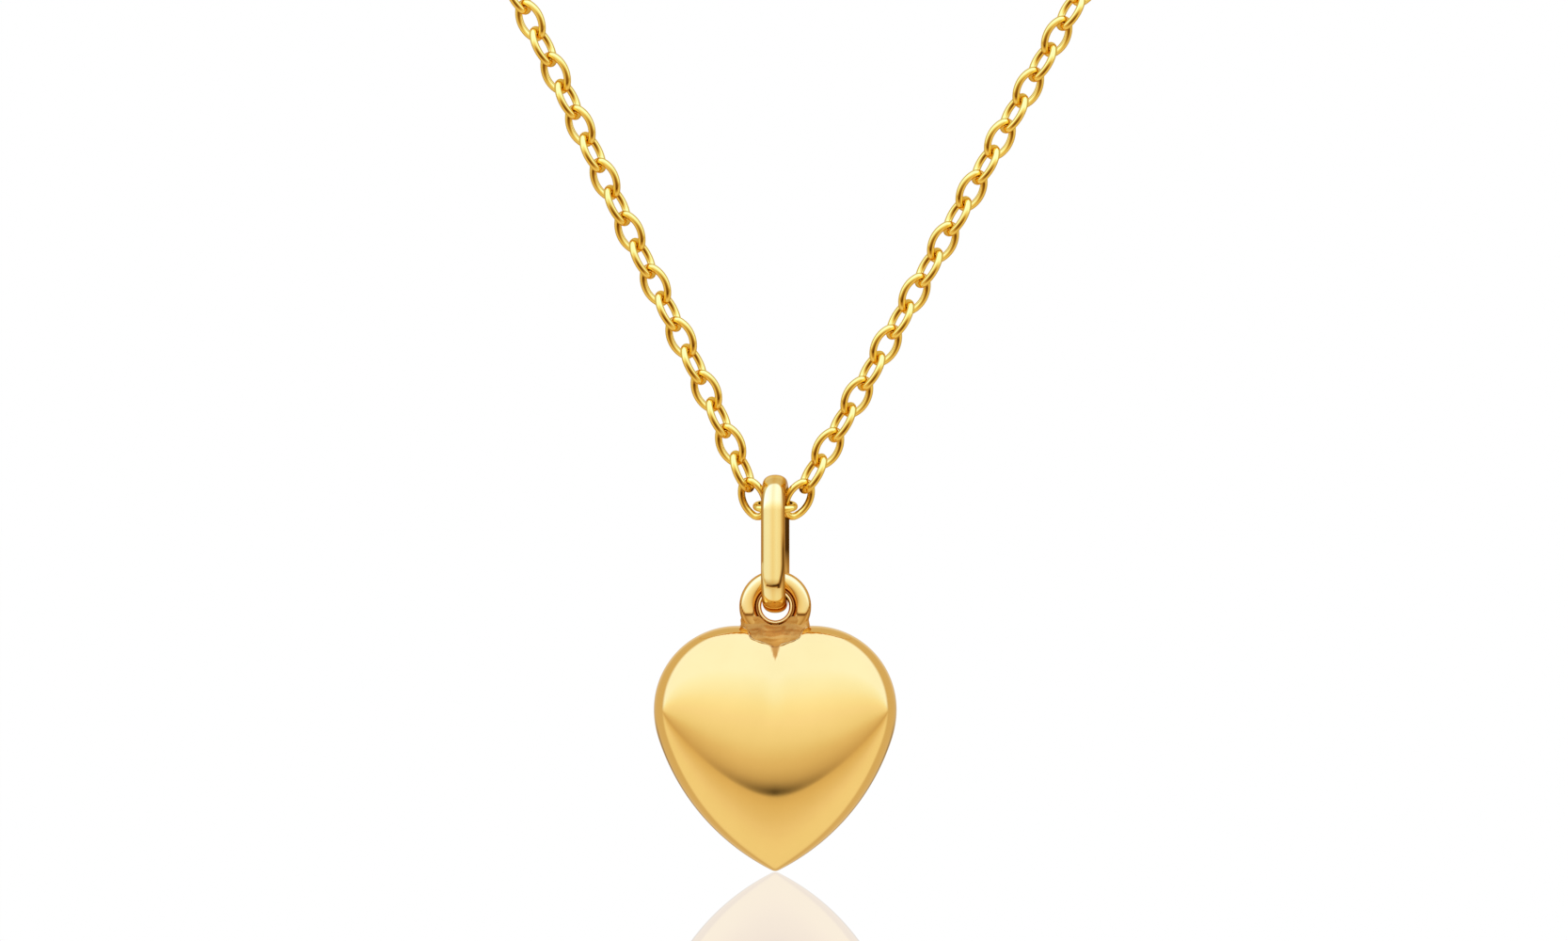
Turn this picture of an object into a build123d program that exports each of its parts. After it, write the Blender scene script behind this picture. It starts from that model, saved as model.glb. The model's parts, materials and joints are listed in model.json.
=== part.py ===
from build123d import *
import math
import os

# Pendant necklace: a puffed heart on a fine trace chain, draped as it is worn.
# Millimetres. X to the wearer's left, Y towards the nape, Z up.
# The origin is the middle of the neck, at the height where the chain crosses its sides.

# ---- Chain -------------------------------------------------------------------------
WIRE = 0.34                      # diameter of the chain's wire
LINK_OPENING = 1.38              # inside length of one link
LINK_WIDTH = 1.44                # outside width of one link
LINK_END_RADIUS = 0.39           # radius of a link's ends, on the wire's middle line
PITCH = 1.35                     # distance from one link to the next, pulled tight
EDGE_ON_ROLL = 62.0              # degrees by which every other link is rolled from facing front
CENTRE_LINK_ROLL = 74.0          # the same for the centre link, which lies nearly flat
GROUPS_PER_SIDE = 16             # each side's links are kept in this many groups
RUNNING_GAP = 0.02               # space left between pieces that hang in each other

# ---- Where the pendant hangs ---------------------------------------------------------
HANG = Vector(0, -62, -88)       # middle of the centre link, which carries the bail

# ---- Bail: a closed oval ring -------------------------------------------------------
BAIL_HEIGHT = 6.31               # outside
BAIL_WIRE_WIDTH = 1.1            # across the ring
BAIL_WIRE_DEPTH = 0.80           # in the plane of the ring
BAIL_BEND_RADIUS = 1.20          # of the wire's middle line
BAIL_TURN = 4.8                  # degrees that the ring stands turned about the vertical

# ---- Hanging loop on the heart ------------------------------------------------------
LOOP_OUTSIDE_RADIUS = 1.64
LOOP_WIRE = 0.82
LIP_OUTSIDE_RADIUS = 0.84
LIP_INSIDE_RADIUS = 0.62
LIP_LENGTH = 0.40
LOOP_DROP = 0.10                 # hole's middle below the middle of the bail's wire
LOOP_ABOVE_TIP = 12.07           # hole's middle above the heart's point

# ---- Heart --------------------------------------------------------------------------
LOBE_CENTRE = (1.72, 7.38)       # from the heart's point, right lobe
LOBE_RADIUS = 3.82
FLANK_RADIUS = 4.25              # below the widest place
FLANK_TURN = 17.9                # degrees of arc in the flank
LOWER_RADIUS = 10.27             # long slack arc down to the point
TIP_RADIUS = 0.35
HEART_HALF_THICKNESS = 2.2
HEART_MIDDLE = 6.6               # height that the dome's outlines shrink towards
SHELL_WALL = 0.28

# ---- Foot and solder under the hanging loop -----------------------------------------
FOOT_WIDTH = 3.06
FOOT_DEPTH = 1.30
FOOT_TOP = 11.50                 # above the heart's point
FOOT_BOTTOM = 9.60
SOLDER_SPREAD = 0.16             # how far the solder stands out around the foot
SOLDER_TOP = 11.14

# ---- Bolt ring clasp at the nape ----------------------------------------------------
CLASP = Vector(0, 57, 14)        # middle of the clasp
CASE_RADIUS = 2.10               # of the tube's middle line
CASE_TUBE = 1.30                 # outside diameter of the tube
CASE_BORE = 0.80
BOLT_WIRE = 0.70
MOUTH_START = -85.0              # angles about the clasp, from +X towards +Z
MOUTH_END = -35.0
BOLT_TIP = -30.0
BOLT_TAIL = -145.0
THUMB_PIN = -100.0
BOLT_TRAVEL = 50.0
SPRING_TAIL = -255.0
SOCKET_DEPTH = 9.0               # degrees that the case's far end is hollow to take the bolt's tip
PIN_WIRE = 0.36
PIN_LENGTH = 1.15                # from the tube's middle line outwards
PIN_KNOB = 0.62
SLOT_WIDTH = 0.48
RING_WIRE = 0.35                 # wire of the eye and of both jump rings
EYE_RADIUS = 0.55
CLASP_RING_RADIUS = 0.68
END_RING_RADIUS = 1.10

# ---- The chain's route over the neck and chest, one side at a time, from the pendant ---
LEFT_ROUTE = [
    (-2.42, -61.83, -84.3),
    (-6.53, -61.5, -75.7),
    (-11.83, -60.4, -64.5),
    (-26.0, -54.5, -41.0),
    (-41.5, -40.0, -18.5),
    (-53.0, -16.0, -3.5),
    (-54.5, 11.0, 4.5),
    (-44.0, 35.5, 10.0),
    (-25.5, 51.5, 13.0),
    (-12.0, 56.3, 13.9),
]
RIGHT_ROUTE = [
    (7.85, -61.5, -75.6),
    (14.0, -60.4, -64.5),
    (28.0, -54.0, -41.0),
    (42.5, -39.5, -19.5),
    (53.2, -16.0, -4.0),
    (54.5, 11.0, 4.5),
    (44.0, 35.5, 10.0),
    (25.5, 51.5, 13.0),
    (11.5, 56.4, 13.9),
]
LEFT_LEAN = 23.0                 # degrees from the vertical where each side leaves the centre link
RIGHT_LEAN = 29.0
SIDE_TWIST = -43.5               # degrees that each side is twisted by, up to its jump ring
FIRST_LINK_OUT = 0.38            # first link's middle from the middle of the centre link's end bar
FIRST_LINK_BACK = 0.20           # and how far behind it, to clear the bail

# ---- Worked out from the above --------------------------------------------------------
LINK_HALF_LENGTH = (LINK_OPENING + WIRE) / 2
LINK_HALF_WIDTH = (LINK_WIDTH - WIRE) / 2
BAIL_BORE = BAIL_BEND_RADIUS - BAIL_WIRE_DEPTH / 2
BAIL_LEG = BAIL_HEIGHT - BAIL_WIRE_DEPTH - 2 * BAIL_BEND_RADIUS


def link_above_bail_pivot():
    """Height of the centre link over the middle of the bail's upper bend."""
    roll = math.radians(CENTRE_LINK_ROLL)
    reach = BAIL_BORE - WIRE / 2 - RUNNING_GAP
    sideways = LINK_HALF_WIDTH * math.sin(roll)
    return math.sqrt(reach**2 - sideways**2) - LINK_HALF_WIDTH * math.cos(roll)


BAIL_PIVOT = HANG - Vector(0, 0, link_above_bail_pivot())
BAIL_BOTTOM_WIRE = BAIL_PIVOT - Vector(0, 0, BAIL_LEG + BAIL_BEND_RADIUS)
LOOP_HOLE = BAIL_BOTTOM_WIRE - Vector(0, 0, LOOP_DROP)
HEART_POINT = LOOP_HOLE - Vector(0, 0, LOOP_ABOVE_TIP)


# ---- Chain ----------------------------------------------------------------------------
def chain_link():
    """One oval link lying in XY, long way along X: four arcs of round wire."""
    end = LINK_HALF_LENGTH - LINK_END_RADIUS
    half_width = LINK_HALF_WIDTH
    side_radius = (end**2 + half_width**2 - LINK_END_RADIUS**2) / (2 * (half_width - LINK_END_RADIUS))
    share = LINK_END_RADIUS / (side_radius - LINK_END_RADIUS)
    corner_x = end + end * share
    corner_y = (side_radius - half_width) * share
    side_x = corner_x / 2
    side_y = side_arc_y(side_x, side_radius)
    half = Wire([
        ThreePointArc((0, -half_width), (side_x, -side_y), (corner_x, -corner_y)),
        ThreePointArc((corner_x, -corner_y), (LINK_HALF_LENGTH, 0), (corner_x, corner_y)),
        ThreePointArc((corner_x, corner_y), (side_x, side_y), (0, half_width)),
    ])
    section = Plane(origin=half @ 0, z_dir=half % 0) * Circle(WIRE / 2)
    right = sweep(section, path=half)
    left = right.rotate(Axis.Z, 180)
    return (right + left).solid()


def side_arc_y(x, side_radius):
    """Height of a link's long side over its length, for a side arc of the given radius."""
    return math.sqrt(side_radius**2 - x**2) - (side_radius - LINK_HALF_WIDTH)


def placed_link(link, middle, along, across):
    """A link with its long way along one direction and its width across another."""
    frame = Plane(origin=middle, x_dir=along, z_dir=along.cross(across))
    return frame.location * link


def rolled(across_front, towards_front, roll):
    """Direction of a link's width when it is rolled by an angle from facing front."""
    angle = math.radians(roll)
    return across_front * math.cos(angle) + towards_front * math.sin(angle)


def side_start(side, lean):
    """Where a side's first link hangs in the end of the centre link."""
    angle = math.radians(lean)
    pull = Vector(side * math.sin(angle), 0, math.cos(angle))
    end_bar = HANG + Vector(side * LINK_HALF_LENGTH, 0, 0)
    first_middle = end_bar + pull * FIRST_LINK_OUT + Vector(0, FIRST_LINK_BACK, 0)
    return first_middle - pull * (PITCH / 2)


def chain_side(link, side, lean, route, finish, end_twist):
    """All links of one side, from the centre link to the clasp."""
    start = side_start(side, lean)
    path = Spline(start, *[Vector(*point) for point in route], finish)
    count = math.ceil(path.length / PITCH)
    step = path.length / count
    knots = [path.position_at(number * step, PositionMode.LENGTH) for number in range(count + 1)]
    front = Vector(0, -1, 0)
    links = []
    for number in range(count):
        along = (knots[number + 1] - knots[number]).normalized()
        front = (front - along * front.dot(along)).normalized()
        outwards = front.cross(along) * -side
        twist = end_twist * number / count
        quarter_turn = 90.0 * ((number + 1) % 2)
        across = rolled(outwards, front, EDGE_ON_ROLL - quarter_turn + twist)
        middle = (knots[number] + knots[number + 1]) * 0.5
        links.append(placed_link(link, middle, along, across))
    return links


def centre_link(link):
    """The link that the bail hangs on, lying level and nearly edge-on."""
    across = rolled(Vector(0, 0, -1), Vector(0, -1, 0), CENTRE_LINK_ROLL)
    return placed_link(link, HANG, Vector(1, 0, 0), across)


# ---- Bail -------------------------------------------------------------------------------
def bail_ring():
    """Oval ring in the YZ plane: two half-round bends and two straight legs."""
    reach = BAIL_BEND_RADIUS
    section_plane = Plane(origin=(0, reach, 0), x_dir=(1, 0, 0), z_dir=(0, 0, 1))
    section = section_plane * Ellipse(BAIL_WIRE_WIDTH / 2, BAIL_WIRE_DEPTH / 2)
    bend = revolve(section, Axis((0, 0, 0), (1, 0, 0)), 180)
    front_leg = Pos(0, 0, -BAIL_LEG) * extrude(section, BAIL_LEG, dir=(0, 0, 1))
    back_leg = Pos(0, -2 * reach, 0) * front_leg
    lower_bend = Pos(0, 0, -BAIL_LEG) * bend.rotate(Axis.X, 180)
    ring = bend + front_leg + back_leg + lower_bend
    return (Pos(*BAIL_PIVOT) * Rot(0, 0, -BAIL_TURN) * ring).solid()


# ---- Heart ------------------------------------------------------------------------------
def heart_outline(shrink, forwards):
    """Face with the heart's outline, shrunk about its middle, standing at a distance forwards."""
    lobe_x, lobe_z = LOBE_CENTRE
    cleft = (0.0, lobe_z + math.sqrt(LOBE_RADIUS**2 - lobe_x**2))
    cleft_angle = math.degrees(math.atan2(cleft[1] - lobe_z, -lobe_x))
    flank_centre = (lobe_x + LOBE_RADIUS - FLANK_RADIUS, lobe_z)
    turn = math.radians(FLANK_TURN)
    step = LOWER_RADIUS - FLANK_RADIUS
    lower_centre = (flank_centre[0] - step * math.cos(turn), lobe_z + step * math.sin(turn))
    tip_rise = math.sqrt((LOWER_RADIUS - TIP_RADIUS) ** 2 - lower_centre[0] ** 2)
    tip_centre = (0.0, lower_centre[1] - tip_rise)
    tip_angle = -math.degrees(math.atan2(tip_rise, -lower_centre[0]))
    base = tip_centre[1] - TIP_RADIUS

    def point(centre, radius, angle, side):
        x = side * (centre[0] + radius * math.cos(math.radians(angle)))
        z = centre[1] + radius * math.sin(math.radians(angle)) - base
        return Vector(x * shrink, -forwards, HEART_MIDDLE + (z - HEART_MIDDLE) * shrink)

    def arc(centre, radius, start, finish, side):
        angles = (start, (start + finish) / 2, finish)
        return ThreePointArc(*[point(centre, radius, angle, side) for angle in angles])

    edges = []
    for side in (1, -1):
        edges.append(arc(LOBE_CENTRE, LOBE_RADIUS, cleft_angle, 0, side))
        edges.append(arc(flank_centre, FLANK_RADIUS, 0, -FLANK_TURN, side))
        edges.append(arc(lower_centre, LOWER_RADIUS, -FLANK_TURN, tip_angle, side))
    edges.append(arc(tip_centre, TIP_RADIUS, tip_angle, -180 - tip_angle, 1))
    return Face(Wire(edges))


def heart_dome(inset):
    """Front half of the puffed heart, solid; an inset gives the space inside its wall."""
    half_thickness = HEART_HALF_THICKNESS - inset
    width = LOBE_CENTRE[0] + LOBE_RADIUS
    full = (width - inset) / width
    heights = [math.sin(math.radians(angle)) for angle in (0, 14, 28, 42, 56, 70, 82)]
    sections = [heart_outline(full * math.sqrt(1 - rise**2), half_thickness * rise) for rise in heights]
    return loft(sections)


def heart_shells():
    """The two stamped halves, meeting face to face in the XZ plane of the heart."""
    front = heart_dome(0) - heart_dome(SHELL_WALL)
    front = (Pos(*HEART_POINT) * front).solid()
    back = front.mirror(Plane.XZ.offset(-HEART_POINT.Y))
    return front, back.solid()


def heart_body():
    """Both halves as one full solid, to shape what is soldered on them."""
    front = Pos(*HEART_POINT) * heart_dome(0)
    return front + front.mirror(Plane.XZ.offset(-HEART_POINT.Y))


# ---- Hanging loop, its foot and the solder ----------------------------------------------
def hanging_loop(heart):
    """Thick round ring with a thin lip lining its hole; the hole runs along Y."""
    axis = Axis((0, 0, 0), (0, 1, 0))
    middle = LOOP_OUTSIDE_RADIUS - LOOP_WIRE / 2
    wire = Plane.XY * Pos(middle, 0) * Circle(LOOP_WIRE / 2)
    lip_width = LIP_OUTSIDE_RADIUS - LIP_INSIDE_RADIUS
    lip_middle = (LIP_OUTSIDE_RADIUS + LIP_INSIDE_RADIUS) / 2
    lip = Plane.XY * Pos(lip_middle, 0) * RectangleRounded(lip_width, LIP_LENGTH, lip_width * 0.4)
    ring = revolve(wire + lip, axis, 360)
    return (Pos(*LOOP_HOLE) * ring - heart).solid()


def loop_foot(loop, heart):
    """Flared base between the ring and the heart, cut to both."""
    middle = (FOOT_TOP + FOOT_BOTTOM) / 2
    height = FOOT_TOP - FOOT_BOTTOM
    profile = Plane.XY * RectangleRounded(FOOT_WIDTH, FOOT_DEPTH, FOOT_DEPTH * 0.42)
    block = Pos(HEART_POINT.X, HEART_POINT.Y, HEART_POINT.Z + FOOT_BOTTOM) * extrude(profile, height)
    hole = Pos(*LOOP_HOLE) * Rot(90, 0, 0) * Cylinder(LIP_OUTSIDE_RADIUS + 0.1, FOOT_DEPTH * 2)
    foot = block - hole - loop - heart
    return foot.solids().sort_by(SortBy.VOLUME)[-1]


def loop_solder(foot, heart):
    """Seam of solder round the foot, where it meets the two lobes."""
    width = FOOT_WIDTH + 2 * SOLDER_SPREAD
    depth = FOOT_DEPTH + 2 * SOLDER_SPREAD
    profile = Plane.XY * RectangleRounded(width, depth, depth * 0.42)
    height = SOLDER_TOP - FOOT_BOTTOM
    block = Pos(HEART_POINT.X, HEART_POINT.Y, HEART_POINT.Z + FOOT_BOTTOM) * extrude(profile, height)
    core = Plane.XY * RectangleRounded(FOOT_WIDTH, FOOT_DEPTH, FOOT_DEPTH * 0.42)
    core = Pos(HEART_POINT.X, HEART_POINT.Y, HEART_POINT.Z + FOOT_BOTTOM) * extrude(core, height)
    return block - core - heart


# ---- Clasp ------------------------------------------------------------------------------
def tube_arc(diameter, start, finish):
    """Stretch of round tube bent about the clasp's middle, between two angles."""
    section = Plane.XY * Pos(CASE_RADIUS, 0) * Circle(diameter / 2)
    arc = revolve(section, Axis((0, 0, 0), (0, -1, 0)), finish - start)
    return arc.rotate(Axis((0, 0, 0), (0, -1, 0)), start)


def at_clasp(shape):
    return (Pos(*CLASP) * shape).solid()


def radial(shape, angle):
    """Turns a shape that points along +X to an angle about the clasp."""
    return shape.rotate(Axis((0, 0, 0), (0, -1, 0)), angle)


def clasp_case():
    """Hollow C: bored for the bolt and spring, socketed for the bolt's tip, slotted for its pin."""
    case = tube_arc(CASE_TUBE, MOUTH_END, MOUTH_START + 360)
    bore = tube_arc(CASE_BORE, SPRING_TAIL + 360, MOUTH_START + 362)
    socket = tube_arc(CASE_BORE, MOUTH_END - 2, MOUTH_END + SOCKET_DEPTH)
    slot_start = THUMB_PIN - BOLT_TRAVEL - 6
    slot_finish = THUMB_PIN + 6
    slot = Plane.XY * Pos(CASE_RADIUS + CASE_TUBE / 2, 0) * Rectangle(CASE_TUBE, SLOT_WIDTH)
    slot = revolve(slot, Axis((0, 0, 0), (0, -1, 0)), slot_finish - slot_start)
    slot = radial(slot, slot_start)
    return at_clasp(case - bore - socket - slot)


def clasp_bolt():
    return at_clasp(tube_arc(BOLT_WIRE, BOLT_TAIL, BOLT_TIP))


def clasp_thumb_pin():
    """Pin with a round knob, standing out of the bolt through the slot."""
    shank = Pos(CASE_RADIUS + PIN_LENGTH / 2, 0, 0) * Rot(0, 90, 0) * Cylinder(PIN_WIRE / 2, PIN_LENGTH)
    knob = Pos(CASE_RADIUS + PIN_LENGTH, 0, 0) * Sphere(PIN_KNOB / 2)
    pin = radial(shank + knob, THUMB_PIN)
    return at_clasp(pin - tube_arc(BOLT_WIRE, BOLT_TAIL, BOLT_TIP))


def clasp_spring():
    """The coil behind the bolt, as the plain sleeve that its turns fill."""
    sleeve = tube_arc(BOLT_WIRE, SPRING_TAIL + 2, BOLT_TAIL - 0.5)
    return at_clasp(sleeve - tube_arc(BOLT_WIRE * 0.55, SPRING_TAIL, BOLT_TAIL))


def clasp_eye():
    """Small eye soldered to the case, opposite its hooked end."""
    middle = -(CASE_RADIUS + CASE_TUBE / 2 + EYE_RADIUS)
    eye = Pos(middle, 0, 0) * Rot(90, 0, 0) * Torus(EYE_RADIUS, RING_WIRE / 2)
    return at_clasp(eye - tube_arc(CASE_TUBE, 150, 210))


def clasp_jump_ring():
    """Ring lying level between the clasp's eye and the left side's last link."""
    eye_bar = -(CASE_RADIUS + CASE_TUBE / 2 + 2 * EYE_RADIUS)
    middle = eye_bar + RING_WIRE + RUNNING_GAP - CLASP_RING_RADIUS
    return at_clasp(Pos(middle, 0, 0) * Torus(CLASP_RING_RADIUS, RING_WIRE / 2)), middle - CLASP_RING_RADIUS


def end_jump_ring():
    """Ring on the right side's last link, held in the closed clasp."""
    inner_bar = CASE_RADIUS - CASE_TUBE / 2 - RING_WIRE / 2 - RUNNING_GAP
    middle = inner_bar + END_RING_RADIUS
    return at_clasp(Pos(middle, 0, 0) * Torus(END_RING_RADIUS, RING_WIRE / 2)), middle + END_RING_RADIUS


def chain_finish(ring_bar, side):
    """Where a side's last link ends, hanging in the outer bar of a jump ring."""
    link_bar = ring_bar - side * (RING_WIRE / 2 + WIRE / 2 + RUNNING_GAP)
    return CLASP + Vector(link_bar + side * (LINK_HALF_LENGTH - PITCH / 2), 0, 0)


# ---- Assembly ---------------------------------------------------------------------------
def write_groups(name, links):
    """Writes one side's links as groups of neighbours."""
    for group in range(GROUPS_PER_SIDE):
        first = group * len(links) // GROUPS_PER_SIDE
        last = (group + 1) * len(links) // GROUPS_PER_SIDE
        export_step(Compound(links[first:last]), f"parts/{name}_{group + 1:02d}.step")


def main():
    os.makedirs("parts", exist_ok=True)
    link = chain_link()
    clasp_ring, left_bar = clasp_jump_ring()
    end_ring, right_bar = end_jump_ring()
    left = chain_side(link, -1, LEFT_LEAN, LEFT_ROUTE, chain_finish(left_bar, -1), SIDE_TWIST)
    right = chain_side(link, 1, RIGHT_LEAN, RIGHT_ROUTE, chain_finish(right_bar, 1), SIDE_TWIST)
    write_groups("chain_left", left)
    write_groups("chain_right", right)

    heart = heart_body()
    loop = hanging_loop(heart)
    foot = loop_foot(loop, heart)
    front_shell, back_shell = heart_shells()
    parts = {
        "centre_link": centre_link(link),
        "bail_ring": bail_ring(),
        "hanging_loop": loop,
        "loop_foot": foot,
        "loop_solder": loop_solder(foot, heart),
        "heart_front_shell": front_shell,
        "heart_back_shell": back_shell,
        "clasp_case": clasp_case(),
        "clasp_bolt": clasp_bolt(),
        "clasp_thumb_pin": clasp_thumb_pin(),
        "clasp_spring": clasp_spring(),
        "clasp_eye": clasp_eye(),
        "clasp_jump_ring": clasp_ring,
        "end_jump_ring": end_ring,
    }
    for name, shape in parts.items():
        export_step(shape, f"parts/{name}.step")


main()
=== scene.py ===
import json
import math

import bpy
import numpy as np
from mathutils import Matrix, Vector


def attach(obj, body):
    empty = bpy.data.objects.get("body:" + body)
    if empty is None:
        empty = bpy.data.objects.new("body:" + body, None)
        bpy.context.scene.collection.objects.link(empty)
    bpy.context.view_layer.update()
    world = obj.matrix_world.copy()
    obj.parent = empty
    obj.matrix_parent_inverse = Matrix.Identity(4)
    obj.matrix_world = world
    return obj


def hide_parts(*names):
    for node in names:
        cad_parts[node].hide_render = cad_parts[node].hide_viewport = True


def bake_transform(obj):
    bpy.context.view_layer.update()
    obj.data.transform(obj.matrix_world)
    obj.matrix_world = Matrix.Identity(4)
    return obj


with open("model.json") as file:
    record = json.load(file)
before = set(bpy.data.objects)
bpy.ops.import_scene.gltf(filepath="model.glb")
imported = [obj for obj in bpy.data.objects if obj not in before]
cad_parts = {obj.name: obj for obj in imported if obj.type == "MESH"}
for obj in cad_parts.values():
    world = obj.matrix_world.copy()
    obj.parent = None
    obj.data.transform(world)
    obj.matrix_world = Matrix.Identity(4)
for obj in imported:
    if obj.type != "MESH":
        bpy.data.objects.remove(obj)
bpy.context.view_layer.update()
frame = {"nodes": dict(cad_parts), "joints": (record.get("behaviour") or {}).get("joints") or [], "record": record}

MM = 0.001


def mm(*values):
    """A point or length given in millimetres, in metres."""
    return Vector(values) * MM if len(values) > 1 else values[0] * MM


# ---- Sizes that repeat the CAD's driving dimensions, in millimetres ---------------------
WIRE = 0.34
LINK_HALF_LENGTH = 0.86
LINK_HALF_WIDTH = 0.55
LINK_END_RADIUS = 0.39
BAIL_BEND_RADIUS = 1.20
BAIL_LEG = 3.11
BAIL_HALF_WIDTH = 0.55
BAIL_HALF_DEPTH = 0.40
BAIL_TURN = math.radians(4.8)
LOBE_X, LOBE_Z, LOBE_RADIUS = 1.72, 7.38, 3.82
FLANK_RADIUS, FLANK_TURN = 4.25, 17.9
LOWER_RADIUS = 10.27
TIP_RADIUS = 0.35
HEART_HALF_THICKNESS = 2.2
SHELL_WALL = 0.28

joints = {joint["name"]: joint for joint in frame["joints"]}
BAIL_PIVOT = Vector(joints["bail_swing"]["pos_m"])
LOOP_HOLE = Vector(joints["heart_sway"]["pos_m"])
LOOP_ABOVE_TIP = 12.07
HEART_POINT = LOOP_HOLE - Vector((0, 0, mm(LOOP_ABOVE_TIP)))


# ---- Camera ----------------------------------------------------------------------------
FRAME_WIDTH = 71.55              # millimetres seen across the picture at the pendant
CAMERA_DISTANCE = 0.75           # metres
AIM_RIGHT = 0.40                 # picture's middle, from the heart's point
AIM_UP = 18.27
SENSOR_WIDTH = 36.0

camera = bpy.data.objects.new("camera", bpy.data.cameras.new("camera"))
bpy.context.scene.collection.objects.link(camera)
camera.data.sensor_width = SENSOR_WIDTH
camera.data.lens = SENSOR_WIDTH * CAMERA_DISTANCE / (FRAME_WIDTH * MM)
camera.data.clip_start = 0.01
camera.data.clip_end = 50.0
camera.location = HEART_POINT + Vector((mm(AIM_RIGHT), -CAMERA_DISTANCE, mm(AIM_UP)))
camera.rotation_euler = (math.radians(90), 0, 0)
bpy.context.scene.camera = camera


# ---- Materials -------------------------------------------------------------------------
MIX_FIRST, MIX_SECOND, MIX_RESULT = 6, 7, 2      # a Mix node's sockets for colours


def material(name, colour, metallic):
    """A new material, and its nodes, links and shader."""
    made = bpy.data.materials.new(name)
    made.use_nodes = True
    shader = made.node_tree.nodes["Principled BSDF"]
    shader.inputs["Base Color"].default_value = (*colour, 1)
    shader.inputs["Metallic"].default_value = metallic
    return made, made.node_tree.nodes, made.node_tree.links, shader


def noise(nodes, links, scale, detail, stretch=(1, 1, 1), roughness=0.5):
    """Noise over the object's own space, in cycles a metre, stretched along an axis."""
    where = nodes.new("ShaderNodeTexCoord")
    mapping = nodes.new("ShaderNodeMapping")
    mapping.inputs["Scale"].default_value = stretch
    texture = nodes.new("ShaderNodeTexNoise")
    texture.inputs["Scale"].default_value = scale
    texture.inputs["Detail"].default_value = detail
    texture.inputs["Roughness"].default_value = roughness
    links.new(where.outputs["Object"], mapping.inputs["Vector"])
    links.new(mapping.outputs["Vector"], texture.inputs["Vector"])
    return texture.outputs["Fac"]


NOISE_LOW, NOISE_HIGH = 0.3, 0.7                 # where most of a noise's values lie


def spread(nodes, links, value, low, high):
    """Maps a noise value to a range."""
    node = nodes.new("ShaderNodeMapRange")
    node.inputs["From Min"].default_value = NOISE_LOW
    node.inputs["From Max"].default_value = NOISE_HIGH
    node.inputs["To Min"].default_value = low
    node.inputs["To Max"].default_value = high
    links.new(value, node.inputs["Value"])
    return node.outputs["Result"]


def colour_ramp(nodes, links, value, stops):
    """Colour by a value from 0 to 1, from stops of a position and a colour."""
    node = nodes.new("ShaderNodeValToRGB")
    elements = node.color_ramp.elements
    while len(elements) < len(stops):
        elements.new(0.5)
    for element, (position, colour) in zip(elements, stops):
        element.position = position
        element.color = (*colour, 1)
    links.new(value, node.inputs["Fac"])
    return node.outputs["Color"]


def with_painted_light(nodes, links, colour, painted_light_stops):
    """The colour times a factor by the light and shade painted on the piece's points."""
    value = nodes.new("ShaderNodeAttribute")
    value.attribute_name = "painted_light"
    product = nodes.new("ShaderNodeMix")
    product.data_type = "RGBA"
    product.blend_type = "MULTIPLY"
    product.inputs["Factor"].default_value = 1.0
    links.new(colour, product.inputs[MIX_FIRST])
    links.new(colour_ramp(nodes, links, value.outputs["Fac"], painted_light_stops), product.inputs[MIX_SECOND])
    return product.outputs[MIX_RESULT]


WARM_EDGE = (0.90, 0.66, 0.38)
HAIR_STRETCH = (1.0, 1.0, 0.12)
HAIR_DEPTH = 0.000004                            # metres


def gold(name, dark, light, roughness, grain, bump, patch=350.0, bump_scale=9000.0,
         painted_light_stops=None, edge=WARM_EDGE, metallic=1.0, specular=0.5):
    """Polished gold: patchy colour, roughness that varies with wear, and fine hairline scratches.

    The stops give a factor on the colour by the light and shade painted on the piece's points. The edge is
    the colour of its glancing reflections.
    """
    made, nodes, links, shader = material(name, light, metallic)
    patches = noise(nodes, links, patch, 3)
    colour = colour_ramp(nodes, links, patches, [(NOISE_LOW, dark), (NOISE_HIGH, light)])
    if painted_light_stops:
        colour = with_painted_light(nodes, links, colour, painted_light_stops)
    links.new(colour, shader.inputs["Base Color"])
    shader.inputs["Specular Tint"].default_value = (*edge, 1)
    shader.inputs["Specular IOR Level"].default_value = specular
    wear = noise(nodes, links, grain, 5, roughness=0.65)
    links.new(spread(nodes, links, wear, *roughness), shader.inputs["Roughness"])
    hairs = noise(nodes, links, bump_scale, 2, stretch=HAIR_STRETCH)
    scratches = nodes.new("ShaderNodeBump")
    scratches.inputs["Strength"].default_value = bump
    scratches.inputs["Distance"].default_value = HAIR_DEPTH
    links.new(hairs, scratches.inputs["Height"])
    links.new(scratches.outputs["Normal"], shader.inputs["Normal"])
    return made


# The heart's stops darken its colour by the painted shade in the notch under the cleft.
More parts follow.
